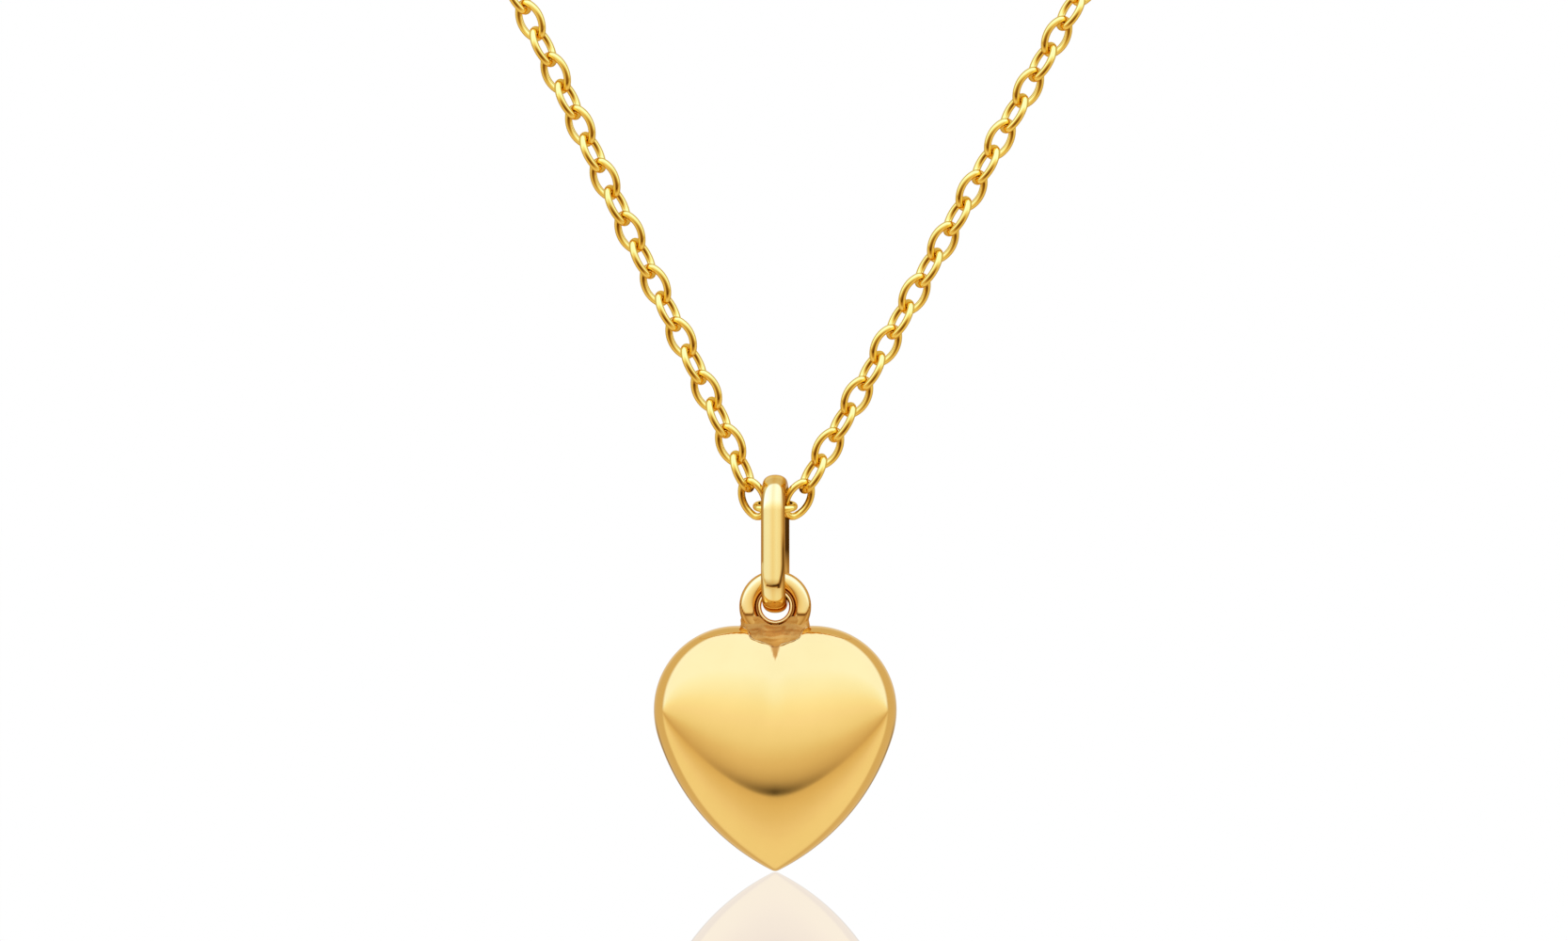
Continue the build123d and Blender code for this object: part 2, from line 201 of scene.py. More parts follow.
HEART_GOLD = gold("heart_gold", (0.93, 0.585, 0.155), (0.97, 0.615, 0.17), (0.05, 0.09), 900.0, 0.04,
                  bump_scale=6000.0, edge=(1.0, 1.0, 1.0), painted_light_stops=[
    (0.00, (1.00, 1.00, 1.00)),
    (0.60, (0.76, 0.53, 0.36)),
    (1.00, (0.61, 0.36, 0.18)),
])
# The ring's stops: pale, bluish factors are painted highlights, low ones painted shade and dark reflections.
RING_GOLD = gold("ring_gold", (0.92, 0.57, 0.15), (0.97, 0.61, 0.17), (0.06, 0.11), 1500.0, 0.05, painted_light_stops=[
    (0.00, (1.02, 1.18, 1.60)),
    (0.12, (1.00, 1.04, 1.10)),
    (0.35, (0.84, 0.72, 0.60)),
    (0.60, (0.60, 0.42, 0.28)),
    (0.85, (0.30, 0.17, 0.08)),
    (1.00, (0.10, 0.05, 0.02)),
])
# The bail's stops: pale, bluish factors are painted highlights, low ones painted shade and dark reflections.
BAIL_GOLD = gold("bail_gold", (0.92, 0.58, 0.16), (0.96, 0.61, 0.17), (0.06, 0.10), 1500.0, 0.05, painted_light_stops=[
    (0.00, (0.62, 0.52, 0.38)),
    (0.08, (0.72, 0.64, 0.52)),
    (0.14, (1.04, 1.30, 1.90)),
    (0.30, (1.04, 1.25, 1.70)),
    (0.44, (0.99, 1.02, 1.02)),
    (0.58, (1.03, 1.18, 1.40)),
    (0.70, (1.02, 1.10, 1.20)),
    (0.76, (0.78, 0.64, 0.46)),
    (0.86, (0.52, 0.38, 0.24)),
    (1.00, (0.09, 0.05, 0.02)),
])
# The chain's stops: pale, bluish factors are painted highlights, low ones painted shade and dark reflections.
CHAIN_GOLD = gold("chain_gold", (0.90, 0.53, 0.08), (0.97, 0.60, 0.10), (0.05, 0.09), 2500.0, 0.06,
                  painted_light_stops=[
    (0.00, (1.03, 1.32, 2.00)),
    (0.15, (1.03, 1.22, 1.50)),
    (0.30, (0.98, 1.00, 1.05)),
    (0.50, (0.95, 0.88, 0.70)),
    (0.75, (0.52, 0.36, 0.16)),
    (1.00, (0.20, 0.11, 0.03)),
])
CLASP_GOLD = gold("clasp_gold", (0.87, 0.56, 0.17), (0.93, 0.65, 0.24), (0.08, 0.14), 1800.0, 0.08)
FOOT_GOLD = gold("foot_gold", (0.44, 0.165, 0.022), (0.74, 0.33, 0.055), (0.24, 0.38), 1400.0, 0.35,
                 patch=900.0, bump_scale=1200.0, metallic=0.5, specular=0.0)
SOLDER_GOLD = gold("solder_gold", (0.34, 0.14, 0.03), (0.97, 0.62, 0.18), (0.14, 0.26), 3200.0, 0.5,
                   patch=2600.0, bump_scale=3500.0)
SPRING_STEEL = gold("spring_steel", (0.50, 0.50, 0.52), (0.62, 0.62, 0.64), (0.25, 0.35), 2500.0, 0.2)


# ---- Mesh helpers ----------------------------------------------------------------------
def piece(name, points, faces, body, finish, node, painted_light=None):
    """A shown piece in place of a CAD node, from points in metres in the row frame.

    Light and shade painted at each point can steer its colour. A piece without a body is still to be tied to one.
    """
    mesh = bpy.data.meshes.new(name)
    mesh.from_pydata([tuple(point) for point in points], [], faces)
    if painted_light is not None:
        values = mesh.attributes.new("painted_light", "FLOAT", "POINT").data
        values.foreach_set("value", np.asarray(painted_light, np.float32))
    mesh.validate()
    mesh.update()
    mesh.polygons.foreach_set("use_smooth", [True] * len(mesh.polygons))
    mesh.materials.append(finish)
    made = bpy.data.objects.new(name, mesh)
    bpy.context.scene.collection.objects.link(made)
    if body:
        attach(made, body)
    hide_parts(node)
    return made


def ring_faces(rings, around, first=0, closed=True):
    """Quads between successive rings of points, the last joined to the first if closed."""
    faces = []
    for ring in range(rings if closed else rings - 1):
        here = first + ring * around
        there = first + (ring + 1) % rings * around
        for step in range(around):
            after = (step + 1) % around
            faces.append((here + step, here + after, there + after, there + step))
    return faces


def end_faces(rings, around, first=0):
    """The two flat ends of an open run of rings."""
    last = first + (rings - 1) * around
    return [tuple(reversed(range(first, first + around))), tuple(range(last, last + around))]


def ramp(value, start, finish):
    """Rises from 0 at start to 1 at finish, and stays within them."""
    return np.clip((value - start) / (finish - start), 0, 1)


def bump_at(value, middle, width):
    """Rises to 1 at the middle, and falls to nothing a few widths from it."""
    return np.exp(-(((value - middle) / width) ** 2))


def oval_section(count, half_width, half_depth, fullness=2.0):
    """Superellipse round a wire, as pairs across and out."""
    angles = np.arange(count) * 2 * math.pi / count
    power = 2.0 / fullness
    across = half_width * np.sign(np.cos(angles)) * np.abs(np.cos(angles)) ** power
    out = half_depth * np.sign(np.sin(angles)) * np.abs(np.sin(angles)) ** power
    return np.column_stack([across, out])


# ---- Chain -----------------------------------------------------------------------------
def link_line(samples):
    """Middle line of one link's wire in XY, with its outward direction: four tangent arcs."""
    end = LINK_HALF_LENGTH - LINK_END_RADIUS
    bulge = LINK_HALF_WIDTH - LINK_END_RADIUS
    side_radius = (end**2 + LINK_HALF_WIDTH**2 - LINK_END_RADIUS**2) / (2 * bulge)
    drop = side_radius - LINK_HALF_WIDTH
    turn = math.atan2(drop, end)
    arcs = [
        (end, 0.0, LINK_END_RADIUS, -turn, turn),
        (0.0, -drop, side_radius, turn, math.pi - turn),
        (-end, 0.0, LINK_END_RADIUS, math.pi - turn, math.pi + turn),
        (0.0, drop, side_radius, math.pi + turn, 2 * math.pi - turn),
    ]
    line = []
    for x, y, radius, start, finish in arcs:
        for step in range(samples):
            angle = start + (finish - start) * step / samples
            out_x, out_y = math.cos(angle), math.sin(angle)
            line.append((x + radius * out_x, y + radius * out_y, out_x, out_y))
    return np.array(line)


def link_mesh(samples=13, around=16):
    """One link: points in millimetres, outward directions, how far each is on a long side, and faces."""
    line = link_line(samples)
    section = oval_section(around, WIRE / 2, WIRE / 2)
    points, outwards, limb = [], [], []
    for x, y, out_x, out_y in line:
        for up, out in section:
            points.append((x + out * out_x, y + out * out_y, up))
            outwards.append((out * out_x, out * out_y, up))
            limb.append(abs(out_y))
    faces = ring_faces(len(line), around)
    return np.array(points), np.array(outwards) / (WIRE / 2), np.array(limb), faces


def separate_solids(node):
    """Triangles of each closed solid in a CAD node, as arrays of corner points in metres."""
    mesh = node.data
    mesh.calc_loop_triangles()
    corners = np.zeros(len(mesh.vertices) * 3)
    mesh.vertices.foreach_get("co", corners)
    corners = corners.reshape(-1, 3)
    triangles = np.zeros(len(mesh.loop_triangles) * 3, int)
    mesh.loop_triangles.foreach_get("vertices", triangles)
    _, same = np.unique(np.round(corners * 1e6), axis=0, return_inverse=True)
    triangles = triangles.reshape(-1, 3)
    joined = same.reshape(-1)[triangles]
    label = np.arange(joined.max() + 1)
    while True:
        lowest = label[joined].min(axis=1)
        before = label.copy()
        for corner in range(3):
            np.minimum.at(label, joined[:, corner], lowest)
        label = label[label]
        if (label == before).all():
            break
    owner = label[joined[:, 0]]
    return [corners[triangles[owner == solid]] for solid in np.unique(owner)]


def solid_frame(triangles):
    """Middle and axes of a link, longest first, from the area of its surface."""
    middles = triangles.mean(axis=1)
    first, second, third = triangles.transpose(1, 0, 2)
    areas = np.linalg.norm(np.cross(second - first, third - first), axis=1)
    centre = (middles * areas[:, None]).sum(0) / areas.sum()
    spread_out = ((middles - centre) * areas[:, None]).T @ (middles - centre)
    _, axes = np.linalg.eigh(spread_out)
    along, across = axes[:, 2], axes[:, 1]
    return centre, np.array([along, across, np.cross(along, across)])


LINK_POINTS, LINK_OUTWARDS, LINK_LIMB, LINK_FACES = link_mesh()
PAINTED_STRIPE_FACES = np.array([0.0, -0.985, -0.174])   # way that the painted dark reflection stripe along the wire faces
PAINTED_STRIPE_START = 0.84                              # cosine at which the painted stripe begins
PAINTED_STRIPE_LIMB = (0.55, 0.90)                       # it grows from a link's ends to its long sides
PAINTED_END_LIMB = (0.50, 0.10)                          # the ends get painted shade too, where links cross
# painted level, painted highlight on faces turned up, painted shade at the ends
PAINTED_LEVEL, PAINTED_TOP_LIGHT, PAINTED_END_SHADE = 0.15, -0.30, 0.25


def link_painted_light(outwards):
    """Painted light on a link: a highlight above, shade at its ends, a dark reflection stripe along each side."""
    painted_stripe = np.clip((np.abs(outwards @ PAINTED_STRIPE_FACES) - PAINTED_STRIPE_START) / (1 - PAINTED_STRIPE_START), 0, 1)
    painted_stripe *= ramp(LINK_LIMB, *PAINTED_STRIPE_LIMB)
    base = PAINTED_LEVEL + PAINTED_TOP_LIGHT * np.clip(outwards[:, 2], -0.5, 0.5)
    base += PAINTED_END_SHADE * ramp(LINK_LIMB, *PAINTED_END_LIMB)
    return base + (1 - base) * painted_stripe


def links_piece(node_name):
    """Smooth round-wire links, standing exactly where a CAD node's links are."""
    points, faces, painted_light = [], [], []
    for triangles in separate_solids(frame["nodes"][node_name]):
        centre, axes = solid_frame(triangles)
        first = len(points)
        points.extend(centre + LINK_POINTS * MM @ axes)
        faces.extend(tuple(first + corner for corner in face) for face in LINK_FACES)
        # painted light and shade of each link, turned with it
        painted_light.extend(link_painted_light(LINK_OUTWARDS @ axes))
    name = node_name + "_links"
    piece(name, points, faces, "chain", CHAIN_GOLD, node_name, painted_light)


for chain_node in frame["record"]["behaviour"]["bodies"]["chain"]:
    links_piece(chain_node)


# ---- Bail ------------------------------------------------------------------------------
BAIL_FULLNESS = 2.2                              # of the wire's section: 2 is an ellipse
REAR_LEG = 0.4                                   # the rear leg lies beyond this y
# Painted shade levels: even on the front leg's inner side, darker on its underside
INNER_PAINTED_LEVEL = 0.50
UNDER_PAINTED_SHADE = 0.74
PAINTED_LINE_WIDTH = 0.07                                # of the painted line, across the wire, as a share of its half width
PAINTED_LINE_BOTTOM = -3.39                              # height at which the painted line crosses the front leg
PAINTED_LINE_END = -3.46                                 # no painted line below this height


def painted_reflection_line(across, z):
    """Painted dark reflection round the front leg's painted highlight: down the right side, round below, up the
    left.
    """
    bent = ramp(z, -2.45, -3.45)
    reach = 0.86 - 0.34 * bent**2
    right = bump_at(across, reach, PAINTED_LINE_WIDTH + 0.04 * bent) * ramp(z, -1.0, -1.8)
    left = 0.6 * bump_at(across, -reach, PAINTED_LINE_WIDTH) * ramp(z, -2.35, -2.95)
    bottom = bump_at(z, PAINTED_LINE_BOTTOM + 0.16 * across**2, 0.06) * (np.abs(across) < 0.56)
    return np.minimum(right + left + bottom, 1) * (z > PAINTED_LINE_END)


def bail_painted_light(across, out, y, z):
    """Painted light and shade by place across and out of the wire, as shares of its half sizes, and along the
    ring.

    The rear leg has painted shade where it faces the front leg. The front leg's inner side has an even painted
    level, its underside painted shade, and it carries the painted reflection line.
    """
    side = 0.43 + 0.43 * across
    shade = 0.80 + 0.20 * ramp(z, -2.73, -1.83)
    rear = side + (shade - side) * ramp(out, 0.35, 0.05)
    front = side + (INNER_PAINTED_LEVEL - side) * ramp(out, 0.05, -0.35)
    front += (UNDER_PAINTED_SHADE - front) * ramp(z, -4.03, -4.33)
    front += (1 - front) * painted_reflection_line(across, z)
    return np.where(y > REAR_LEG, rear, front)


def bail_stations(bend_steps, leg_steps):
    """Places round the oval ring's middle line as y, z and outward angle: two bends and two legs."""
    stations = []
    for first_angle, level, leg_way in ((0, 0.0, -1), (math.pi, -BAIL_LEG, 1)):
        for step in range(bend_steps):
            angle = first_angle + math.pi * step / bend_steps
            y, z = BAIL_BEND_RADIUS * math.cos(angle), level + BAIL_BEND_RADIUS * math.sin(angle)
            stations.append((y, z, angle))
        for step in range(leg_steps):
            z = level + leg_way * BAIL_LEG * step / leg_steps
            stations.append((leg_way * BAIL_BEND_RADIUS, z, first_angle + math.pi))
    return np.array(stations)


def bail_piece(bend_steps=120, leg_steps=40, around=56):
    """Closed oval ring of slightly flattened wire."""
    stations = bail_stations(bend_steps, leg_steps)
    section = oval_section(around, BAIL_HALF_WIDTH, BAIL_HALF_DEPTH, BAIL_FULLNESS)
    turn = Matrix.Rotation(-BAIL_TURN, 3, "Z")
    points = []
    for y, z, angle in stations:
        for across, out in section:
            local = Vector((across, y + out * math.cos(angle), z + out * math.sin(angle)))
            points.append(BAIL_PIVOT + turn @ local * MM)
    across, out = np.tile(section / (BAIL_HALF_WIDTH, BAIL_HALF_DEPTH), (len(stations), 1)).T
    y, z = np.repeat(stations[:, :2], around, axis=0).T
    # painted light and shade on the bail's points
    painted_light = bail_painted_light(across, out, y, z)
    faces = ring_faces(len(stations), around)
    piece("bail", points, faces, "bail", BAIL_GOLD, "bail_ring", painted_light)


bail_piece()


# ---- Heart -----------------------------------------------------------------------------
HEART_MIDDLE = 6.6               # heights above the heart's point
CREASE_START = 6.4
CREASE_END = 10.4
CREASE_DEPTH = 0.10              # depths are shares of the shell's height
CREASE_WIDTH = 0.42
NOTCH_BOTTOM = 9.58
NOTCH_TOP = 10.40
NOTCH_DEPTH = 0.03
NOTCH_HALF_WIDTH = 0.29
OUTLINE_FINENESS = 8


def heart_outline(per_arc=OUTLINE_FINENESS):
    """Closed outline of the heart above its point, in millimetres, clockwise from the cleft."""
    flank_x = LOBE_X + LOBE_RADIUS - FLANK_RADIUS
    turn = math.radians(FLANK_TURN)
    step = LOWER_RADIUS - FLANK_RADIUS
    lower_x, lower_z = flank_x - step * math.cos(turn), LOBE_Z + step * math.sin(turn)
    tip_rise = math.sqrt((LOWER_RADIUS - TIP_RADIUS) ** 2 - lower_x**2)
    tip_z = lower_z - tip_rise
    tip_angle = -math.atan2(tip_rise, -lower_x)
    cleft_angle = math.atan2(math.sqrt(LOBE_RADIUS**2 - LOBE_X**2), -LOBE_X)
    base = tip_z - TIP_RADIUS
    arcs = [
        (LOBE_X, LOBE_Z, LOBE_RADIUS, cleft_angle, 0.0, 10),
        (flank_x, LOBE_Z, FLANK_RADIUS, 0.0, -turn, 4),
        (lower_x, lower_z, LOWER_RADIUS, -turn, tip_angle, 7),
        (0.0, tip_z, TIP_RADIUS, tip_angle, -math.pi / 2, 2),
    ]
    right = []
    for x, z, radius, start, finish, share in arcs:
        count = per_arc * share
        for number in range(count):
            angle = start + (finish - start) * number / count
            right.append((x + radius * math.cos(angle), z + radius * math.sin(angle) - base))
    right = np.array(right + [(0.0, 0.0)])
    left = right[-2:0:-1] * (-1, 1)
    return np.vstack([right, left])


class Dome:
    """Puffed surface over the heart's outline, like a membrane blown up from its rim.

    The membrane is -r^2/4 plus smooth sources placed just outside the outline. So it is smooth inside and
    zero on the rim, and its square root rises steeply there, as a stamped shell does.
    """

    SOURCES_OUT = 0.55
    SOURCES_CLEAR = 0.3

    def __init__(self):
        rim = heart_outline()
        ahead = np.roll(rim, -1, 0) - np.roll(rim, 1, 0)
        outwards = np.column_stack([-ahead[:, 1], ahead[:, 0]])
        outwards /= np.linalg.norm(outwards, axis=1)[:, None]
        near = (rim + outwards * self.SOURCES_OUT)[::2]
        clear = [np.hypot(*(rim - source).T).min() > self.SOURCES_CLEAR for source in near]
        self.sources = near[clear]
        self.weights = np.linalg.lstsq(self.kernel(rim), (rim**2).sum(1) / 4, rcond=1e-10)[0]
        middle_line = np.array([(0.0, z) for z in np.linspace(2, 10, 400)])
        self.highest = self.membrane(middle_line).max()

    def kernel(self, where):
        """What each source adds at each place, and a constant."""
        gap = where[:, None] - self.sources[None]
        return np.column_stack([np.log((gap**2).sum(-1)) / 2, np.ones(len(where))])

    def membrane(self, where):
        """Height of the membrane, up to a factor."""
        return self.kernel(where) @ self.weights - (where**2).sum(1) / 4

    def height(self, where, top=HEART_HALF_THICKNESS):
        """Height of the shell over its middle plane, with the crease and notch under the cleft."""
        level = np.clip(self.membrane(where) / self.highest, 0, None) ** 0.5
        fade = ramp(where[:, 1], CREASE_START, CREASE_END) ** 2
        crease = CREASE_DEPTH * fade * bump_at(where[:, 0], 0, CREASE_WIDTH)
        return top * level * (1 - crease - NOTCH_DEPTH * notch(where))


def notch(where):
    """How deep in the narrow V under the cleft each place lies, from 0 to 1: it shapes the V and sets its painted
    shade.
    """
    open_up = np.clip((where[:, 1] - NOTCH_BOTTOM) / (NOTCH_TOP - NOTCH_BOTTOM), 0, 1.3)
    inside = 1 - np.abs(where[:, 0]) / (NOTCH_HALF_WIDTH * open_up + 0.01)
    return ramp(inside, 0, 1 / 2.2) * ramp(open_up, 0, 1 / 4)


DOME = Dome()


def dome_points(scale, top, forwards, rings=72):
    """Rings of points from the rim in to the middle of a dome, and the pole; and how many of each."""
    rim = heart_outline()
    middle = np.array([0.0, HEART_MIDDLE])
    points = []
    for ring in range(rings):
        reach = math.cos(math.pi / 2 * ring / rings)
        flat = middle + (rim - middle) * reach
        high = DOME.height(flat, top)
        if ring == 0:
            high[:] = 0.0
        placed = middle + (flat - middle) * scale
        for (x, z), y in zip(placed, high):
            points.append(HEART_POINT + mm(x, -forwards * y, z))
    pole = DOME.height(middle[None], top)[0]
    points.append(HEART_POINT + mm(0.0, -forwards * pole, HEART_MIDDLE))
    return points, len(rim), rings


def shell_piece(name, forwards, node):
    """One stamped half: a polished outside, a wall's thickness and an inside."""
    outside, around, rings = dome_points(1.0, HEART_HALF_THICKNESS, forwards)
    inner_scale = 1 - SHELL_WALL / (LOBE_X + LOBE_RADIUS)
    inside, _, _ = dome_points(inner_scale, HEART_HALF_THICKNESS - SHELL_WALL, forwards)
    points = outside + inside
    half = len(outside)
    turns = [(step, (step + 1) % around) for step in range(around)]
    faces = []
    for first, flip in ((0, forwards > 0), (half, forwards < 0)):
        cap = ring_faces(rings, around, first, closed=False)
        last = first + (rings - 1) * around
        cap += [(last + step, last + after, first + rings * around) for step, after in turns]
        faces += [face[::-1] if flip else face for face in cap]
    rim = [(step, half + step, half + after, after) for step, after in turns]
    faces += [face[::-1] if forwards > 0 else face for face in rim]
    where = (np.array(points) - np.array(HEART_POINT))[:, (0, 2)] / MM
    # The notch's depth is also painted into the heart's colour as shade in the V.
    piece(name, points, faces, "heart", HEART_GOLD, node, notch(where))


shell_piece("heart_front", 1, "heart_front_shell")
shell_piece("heart_back", -1, "heart_back_shell")


# ---- Hanging loop, foot and solder -----------------------------------------------------
# Middles are radii about the hole. Depths and lengths are along it.
RING_MIDDLE, RING_HALF_WIDTH, RING_HALF_DEPTH = 1.25, 0.39, 0.41
LIP_MIDDLE, LIP_HALF_WIDTH, LIP_HALF_LENGTH = 0.725, 0.095, 0.47
LIP_CLEARANCE = 0.03
WEB_MIDDLE, WEB_HALF_WIDTH, WEB_HALF_LENGTH = 0.84, 0.09, 0.10
LUMP_WAVES = 9


def lumps(where, size, seed):
    """Smooth repeatable bumpiness from a few crossing waves, about -1 to 1."""
    rng = np.random.default_rng(seed)
    total = np.zeros(len(where))
    for _ in range(LUMP_WAVES):
        direction = rng.normal(size=3)
        direction *= 2 * math.pi / (size * rng.uniform(0.6, 1.6)) / np.linalg.norm(direction)
        total += np.sin(where @ direction + rng.uniform(0, 2 * math.pi))
    return total / math.sqrt(LUMP_WAVES)


def turned_ring(section, centre, steps):
    """Points of a ring with a hole along Y, turned from a section given as radius and Y."""
    points = []
    for step in range(steps):
        angle = 2 * math.pi * step / steps
        for radius, y in section:
            points.append(centre + mm(radius * math.cos(angle), y, radius * math.sin(angle)))
    return points


RING_PAINTED_LIGHT = [                   # place across the ring, from its inner edge to its outer edge, and painted light: 0 a highlight, higher shade
    (-1.00, 0.80),
    (-0.90, 0.66),
    (-0.70, 0.42),
    (-0.30, 0.20),
    (0.00, 0.10),
    (0.60, 0.00),
    (0.75, 0.08),
    (0.92, 0.33),
    (1.00, 0.40),
]
SHADE_EDGE = -0.37               # height, from the hole, of the painted dark line where the limbs meet the foot
SHADE_WIDTH = 0.065
# painted shade at least this dark below that line
SHADE_BELOW = 0.45
# painted shade of the web in the groove, and on the lip's flanks
WEB_PAINTED_SHADE = 0.72
LIP_PAINTED_SHADE = 0.35


def ring_painted_light(section, steps):
    """Painted light on the thick ring: a painted highlight in front, painted shade at its inner edge and at the
    foot.
    """
    angles = 2 * math.pi * np.arange(steps) / steps
    radius = section[:, 0]
    across = np.tile((radius - RING_MIDDLE) / RING_HALF_WIDTH, (steps, 1))
    base = np.interp(across, *np.transpose(RING_PAINTED_LIGHT))
    height = np.sin(angles)[:, None] * radius[None]
    edge = SHADE_EDGE + 1.9 * np.clip(np.abs(across) - 0.35, 0, 1) ** 2
    line = bump_at(height, edge, SHADE_WIDTH) * (np.abs(across) < 0.93)
    low = ramp(height, edge, edge - 0.05) * (height < 0.1)
    base += (np.maximum(base, SHADE_BELOW) - base) * low
    return (base + (1 - base) * line).ravel()


def loop_piece(steps=240, around=40):
    """Thick ring, the thin lip that lines its hole, and the web between them."""
    wire = oval_section(around, RING_HALF_WIDTH, RING_HALF_DEPTH, 2.5) + (RING_MIDDLE, 0)
    lip = oval_section(around, LIP_HALF_WIDTH, LIP_HALF_LENGTH, 2.6) + (LIP_MIDDLE, 0)
    web = oval_section(around, WEB_HALF_WIDTH, WEB_HALF_LENGTH, 3.0) + (WEB_MIDDLE, 0)
    points, faces = [], []
    for section in (wire, lip, web):
        faces += ring_faces(steps, around, len(points))
        points += turned_ring(section, LOOP_HOLE, steps)
    flank = np.abs(lip[:, 0] - LIP_MIDDLE) / LIP_HALF_WIDTH
    lip_painted_shade = np.tile(LIP_PAINTED_SHADE * flank**4, steps)
    web_painted_shade = np.full(len(web) * steps, WEB_PAINTED_SHADE)
    # painted light and shade of ring, lip and web
    painted_light = np.concatenate([ring_painted_light(wire, steps), lip_painted_shade, web_painted_shade])
    piece("loop_ring", points, faces, "heart", RING_GOLD, "hanging_loop", painted_light)


loop_piece()


FOOT_TOP, FOOT_BOTTOM = 11.62, 9.90              # heights above the heart's point
FOOT_TOP_WIDTH, FOOT_TOP_DEPTH = 1.53, 0.465     # half sizes
FOOT_SPREAD, FOOT_FLARE_WIDTH, FOOT_FLARE_DEPTH = 0.10, 0.22, 0.62
FOOT_FALL = 0.87                                 # height over which it first spreads
FOOT_LUMPS = ((0.022, 0.42, 5), (0.008, 0.16, 6))   # height, size and seed


def foot_size(height):
    """Half width and half depth of the foot at a height above the heart's point."""
    down = np.clip((FOOT_TOP - height) / FOOT_FALL, 0, 1.6)
    flare = ramp(down, 0.35, 1.20)
    width = FOOT_TOP_WIDTH + FOOT_SPREAD * down + FOOT_FLARE_WIDTH * np.clip(down - 0.5, 0, 1) ** 2
    return width, FOOT_TOP_DEPTH + FOOT_FLARE_DEPTH * flare**2 * (3 - 2 * flare)


def foot_depth(x, height):
    """How far the foot stands forward of its middle plane."""
    width, depth = foot_size(height)
    return depth * np.clip(1 - np.abs(x / width) ** 3.2, 0, 1) ** (1 / 2.4)


def foot_top(x):
    """Top of the foot: level, but hollowed round the lip of the loop's hole."""
    reach = LIP_MIDDLE + LIP_HALF_WIDTH + LIP_CLEARANCE
    hollow = LOOP_ABOVE_TIP - np.sqrt(np.clip(reach**2 - x**2, 0, None))
    return np.minimum(FOOT_TOP, hollow)


def foot_piece(levels=46, around=160):
    """Flared lumpy base that blends the ring into the heart."""
    points = []
    angles = np.arange(around) * 2 * math.pi / around
    across = np.sign(np.cos(angles)) * np.abs(np.cos(angles)) ** (2 / 3.0)
    out = np.sign(np.sin(angles)) * np.abs(np.sin(angles)) ** (2 / 2.6)
    for level in range(levels):
        share = level / (levels - 1)
        height = np.full(around, FOOT_BOTTOM + (FOOT_TOP - FOOT_BOTTOM) * share)
        for _ in range(4):
            width, depth = foot_size(height)
            height = FOOT_BOTTOM + (foot_top(width * across) - FOOT_BOTTOM) * share
        x, y = width * across, depth * out
        where = np.column_stack([x, y, height])
        bump = sum(high * lumps(where, size, seed) for high, size, seed in FOOT_LUMPS)
        grow = 1 + bump / np.hypot(x, y)
        points += [HEART_POINT + mm(*spot) for spot in zip(x * grow, y * grow, height)]
    faces = ring_faces(levels, around, closed=False)
    bottom, top = len(points), len(points) + 1
    top_middle = float(foot_top(0.0)) - 0.05
    points += [HEART_POINT + mm(0.0, 0.0, FOOT_BOTTOM), HEART_POINT + mm(0.0, 0.0, top_middle)]
    last = (levels - 1) * around
    for step in range(around):
        after = (step + 1) % around
        faces.append((after, step, bottom))
        faces.append((last + step, last + after, top))
    piece("foot", points, faces, "heart", FOOT_GOLD, "loop_foot")


foot_piece()


SEAM_REACH = 1.62                                # sideways, to each side
SEAM_HEIGHTS = (9.90, 11.20)
SEAM_RIM_HEIGHT = 10.90                          # where the foot passes beside the heart
BEAD_RADIUS, BEAD_UNEVENNESS = 0.034, 0.022
BEAD_LIMITS = (0.012, 0.070)


def seam_line(side, steps=90, levels=400):
    """Where the foot's front or back meets the heart, from one side to the other."""
    line = []
    heights = np.linspace(*SEAM_HEIGHTS, levels)
    for x in np.linspace(-SEAM_REACH, SEAM_REACH, steps):
        beside = np.full(levels, x)
        gap = DOME.height(np.column_stack([beside, heights])) - foot_depth(beside, heights)
        crossed = np.where((gap[:-1] > 0) & (gap[1:] <= 0))[0]
        height = heights[crossed[-1]] if len(crossed) else SEAM_RIM_HEIGHT
        line.append((x, -side * float(foot_depth(x, height)), height))
    line = np.array(line)
    for _ in range(3):
        line[1:-1] = (line[:-2] + 2 * line[1:-1] + line[2:]) / 4
    return line


def seam_bead(side, first, around=14):
    """Irregular run of solder along a seam, thin at both ends."""
    line = seam_line(side)
    ahead = np.gradient(line, axis=0)
    ahead /= np.linalg.norm(ahead, axis=1)[:, None]
    thick = BEAD_RADIUS + BEAD_UNEVENNESS * lumps(line, 0.5, 11 + side)
    ends = np.clip((SEAM_REACH + 0.04 - np.abs(line[:, 0])) / 0.2, 0.1, 1)
    thick = np.clip(thick, *BEAD_LIMITS) * ends
    points = []
    for centre, along, radius in zip(line, ahead, thick):
        out = np.array([0.0, -side, 0.0])
        out -= along * out.dot(along)
        out /= np.linalg.norm(out)
        up = np.cross(along, out)
        for step in range(around):
            angle = 2 * math.pi * step / around
            spot = centre + radius * (math.cos(angle) * out + math.sin(angle) * up)
            points.append(HEART_POINT + mm(*spot))
    sides = ring_faces(len(line), around, first, closed=False)
    return points, sides + end_faces(len(line), around, first)


def solder_piece():
    """The front seam and the back seam."""
    front, front_faces = seam_bead(1, 0)
    back, back_faces = seam_bead(-1, len(front))
    faces = front_faces + back_faces
    piece("solder", front + back, faces, "heart", SOLDER_GOLD, "loop_solder")


solder_piece()


